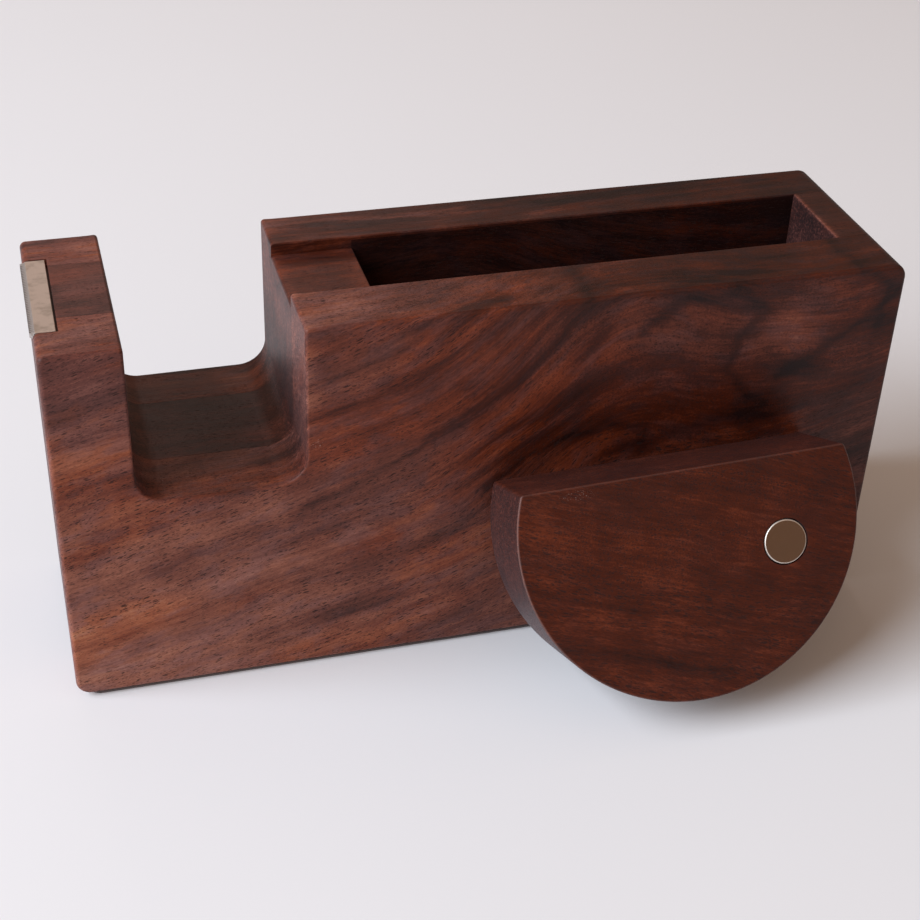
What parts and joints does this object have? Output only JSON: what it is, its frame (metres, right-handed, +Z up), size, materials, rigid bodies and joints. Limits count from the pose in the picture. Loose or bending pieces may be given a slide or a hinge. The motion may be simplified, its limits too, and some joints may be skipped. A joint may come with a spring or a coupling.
{
  "type": "desk tape dispenser",
  "caption": "Walnut block tape dispenser with an open roll well, a notch behind a toothed cutter blade, and a loose half-moon core insert.",
  "frame": {"origin": "centre of the underside of the anti-slip sheet, where the block stands on the desk", "axes": "+X along the block from the cutter towards the roll, +Z up, -Y towards the face that the insert leans on"},
  "size_m": [0.1815, 0.0905, 0.0848],
  "materials": {
    "walnut_front": "satin oiled walnut",
    "walnut_core": "satin oiled walnut",
    "walnut_back": "satin oiled walnut",
    "walnut_insert": "satin oiled walnut",
    "blade_steel": "fine ground, satin",
    "magnet_nickel": "bright nickel plate",
    "black_rubber": "matte"
  },
  "bodies": {
    "block": {"front_board": "walnut_front", "core_board": "walnut_core", "back_board": "walnut_back", "cutter_blade": "blade_steel", "wall_magnet": "magnet_nickel", "anti_slip_sheet": "black_rubber"},
    "insert": {"core_insert": "walnut_insert", "insert_magnet": "magnet_nickel"}
  },
  "joints": [
    {"name": "insert_lift", "type": "slide", "parent": "block", "child": "insert", "axis": [0, 0, 1], "range_m": [0, 0.11]}
  ]
}
